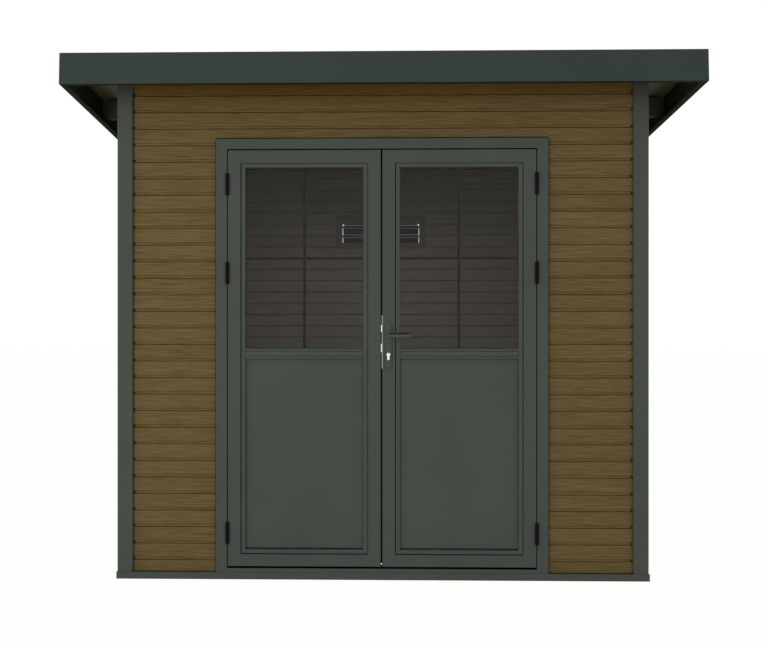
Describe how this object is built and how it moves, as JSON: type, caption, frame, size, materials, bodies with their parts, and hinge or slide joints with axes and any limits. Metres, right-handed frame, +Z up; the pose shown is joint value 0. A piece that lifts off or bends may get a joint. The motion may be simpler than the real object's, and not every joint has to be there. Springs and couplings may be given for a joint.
{
  "type": "garden house",
  "caption": "Square garden house with board walls, grey metal posts and base, a low mono-pitch metal roof in a fascia tray, and a glazed double door with a lever handle.",
  "frame": {"origin": "middle of the footprint of the whole house, roof included, at ground level", "axes": "+Z up, the door front faces -Y, +X to the right as seen from the front"},
  "size_m": [2.93, 2.9334, 2.438],
  "materials": {
    "wall_boards": "matte",
    "grey_metal": "satin",
    "roof_metal": "satin",
    "floor_boards": "matte",
    "clear_glass": "gloss",
    "black_metal": "satin",
    "lock_steel": "satin",
    "vent_dark": "matte"
  },
  "bodies": {
    "house": {"front_left_wall": "wall_boards", "front_right_wall": "wall_boards", "wall_over_door": "wall_boards", "left_wall": "wall_boards", "right_wall": "wall_boards", "back_wall_lower": "wall_boards", "back_wall_beside_vent": "wall_boards", "back_wall_upper": "wall_boards", "front_base_rail": "grey_metal", "back_base_rail": "grey_metal", "left_base_rail": "grey_metal", "right_base_rail": "grey_metal", "front_left_post": "grey_metal", "front_right_post": "grey_metal", "back_left_post": "grey_metal", "back_right_post": "grey_metal", "front_top_rail": "grey_metal", "back_top_rail": "grey_metal", "front_fascia": "grey_metal", "left_fascia": "grey_metal", "right_fascia": "grey_metal", "back_fascia": "grey_metal", "door_left_jamb": "grey_metal", "door_right_jamb": "grey_metal", "door_head": "grey_metal", "door_threshold": "grey_metal", "roof_sheet": "roof_metal", "roof_purlins": "roof_metal", "floor_deck": "floor_boards", "floor_joists": "floor_boards", "frame_hinges": "black_metal", "vent_frame": "vent_dark", "vent_louvres": "vent_dark"},
    "left_leaf": {"left_leaf_stiles": "grey_metal", "left_leaf_rails": "grey_metal", "left_leaf_glass": "clear_glass", "left_leaf_panel": "grey_metal", "left_leaf_beads": "grey_metal", "left_leaf_hinges": "black_metal", "strike_plate": "lock_steel"},
    "right_leaf": {"right_leaf_stiles": "grey_metal", "right_leaf_rails": "grey_metal", "right_leaf_glass": "clear_glass", "right_leaf_panel": "grey_metal", "right_leaf_beads": "grey_metal", "right_leaf_hinges": "black_metal", "lock_forend": "lock_steel", "handle_plates": "grey_metal", "lock_cylinder": "lock_steel"},
    "lever": {"lever_handle": "grey_metal"}
  },
  "joints": [
    {"name": "left_door_hinge", "type": "hinge", "parent": "house", "child": "left_leaf", "pos_m": [-0.7275, -1.259, 1.0415], "axis": [0, 0, -1], "range_deg": [0, 110]},
    {"name": "right_door_hinge", "type": "hinge", "parent": "house", "child": "right_leaf", "pos_m": [0.7275, -1.259, 1.0415], "axis": [0, 0, 1], "range_deg": [0, 110]},
    {"name": "lever_turn", "type": "hinge", "parent": "right_leaf", "child": "lever", "pos_m": [0.032, -1.2275, 1.152], "axis": [0, 1, 0], "range_deg": [0, 40], "stiffness_Nm_per_rad": 1.5, "springref_deg": -28.65}
  ]
}
